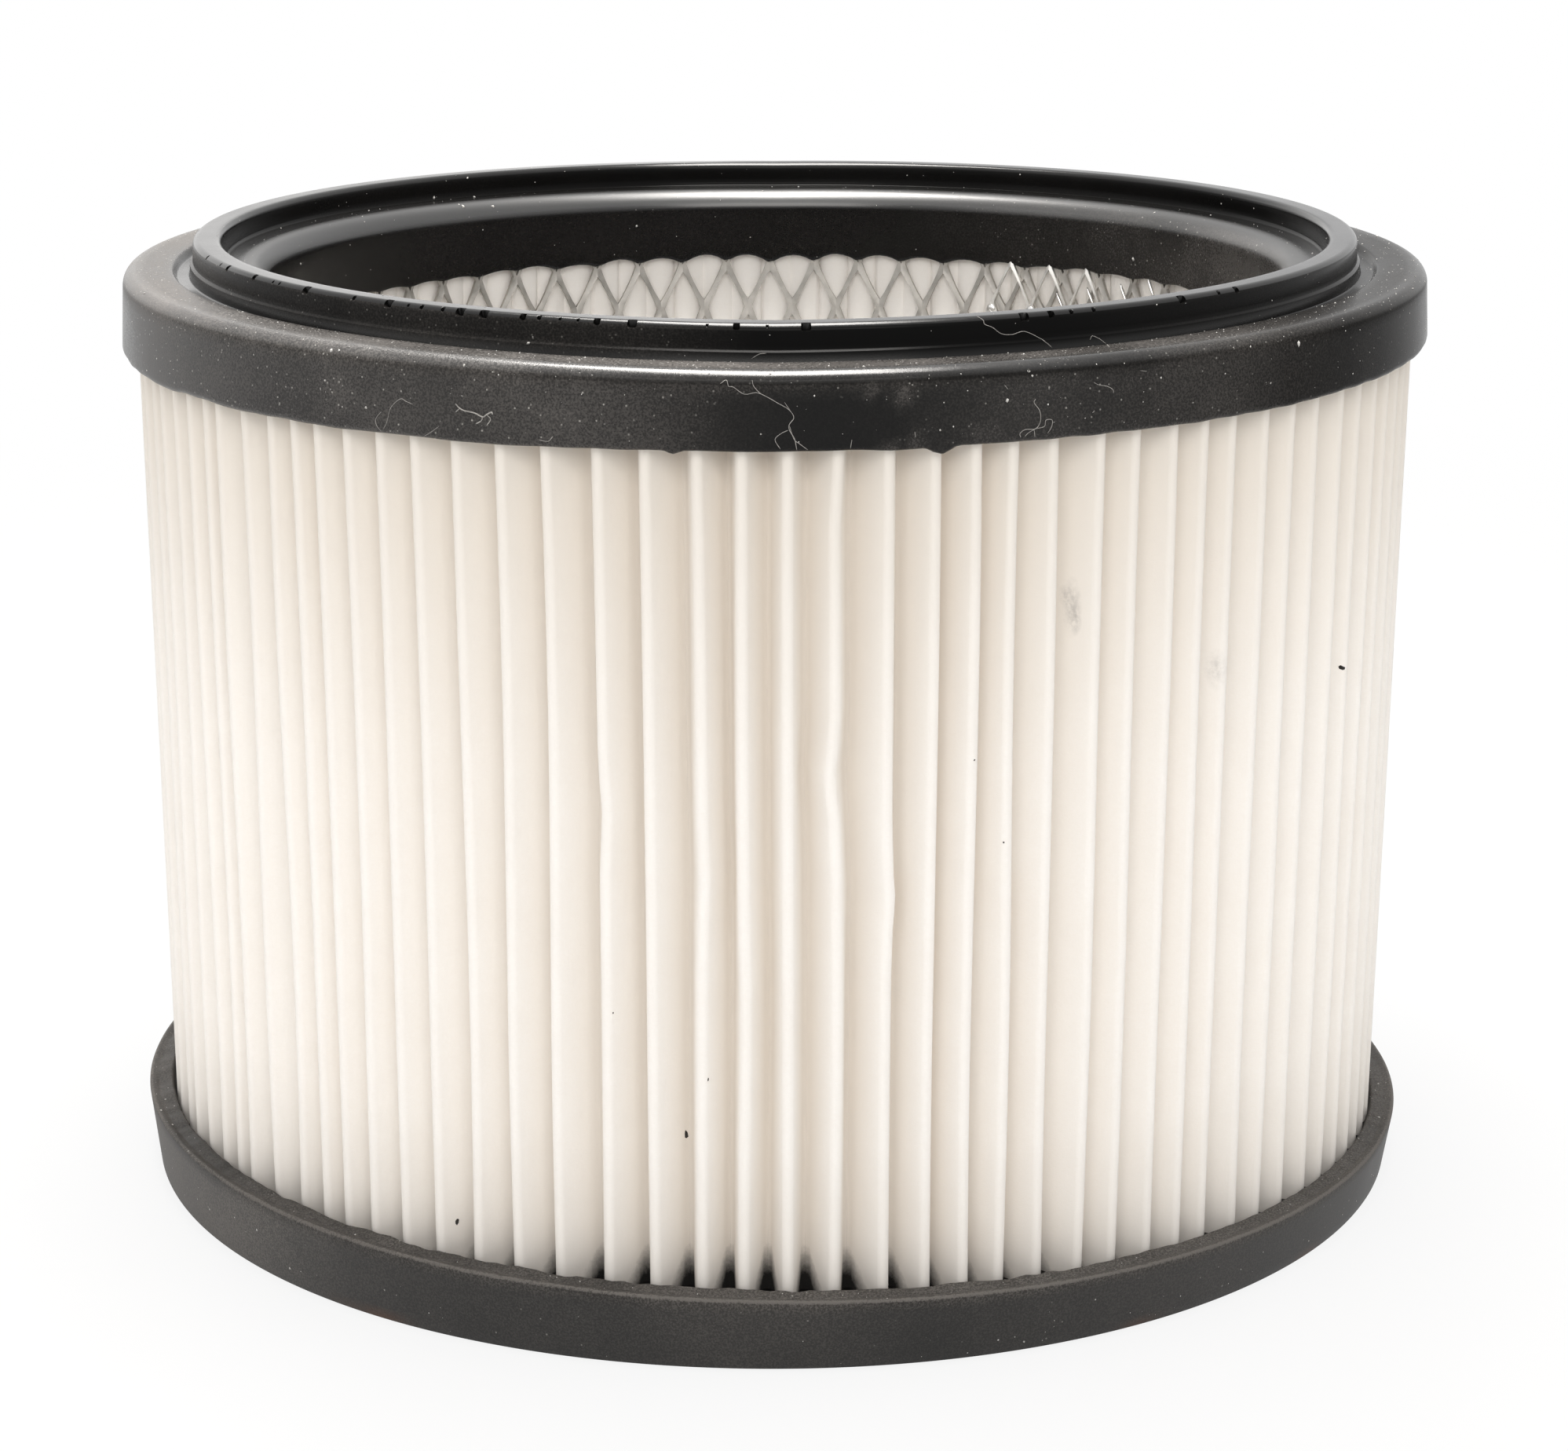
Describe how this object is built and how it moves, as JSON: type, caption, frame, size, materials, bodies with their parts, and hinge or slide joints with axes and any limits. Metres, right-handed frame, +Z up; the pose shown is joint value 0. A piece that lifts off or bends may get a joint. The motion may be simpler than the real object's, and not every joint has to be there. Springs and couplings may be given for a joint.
{
  "type": "vacuum cartridge filter",
  "caption": "Cylindrical pleated cartridge filter with moulded end caps, a raised seal bead on the top cap and an expanded-metal cage in its open bore.",
  "frame": {"origin": "centre of the base, on the axis of the cartridge", "axes": "+Z up along the axis towards the seal bead, front towards -Y"},
  "size_m": [0.1864, 0.1864, 0.1356],
  "materials": {
    "cap_polyurethane": "satin black moulded polyurethane",
    "filter_media": "off-white nonwoven filter media",
    "hot_melt": "cloudy hot-melt glue",
    "cage_steel": "galvanised expanded metal"
  },
  "bodies": {
    "root": {"top_end_cap": "cap_polyurethane", "bottom_end_cap": "cap_polyurethane", "pleated_media": "filter_media", "side_seam_glue": "hot_melt", "support_cage": "cage_steel"}
  },
  "joints": []
}
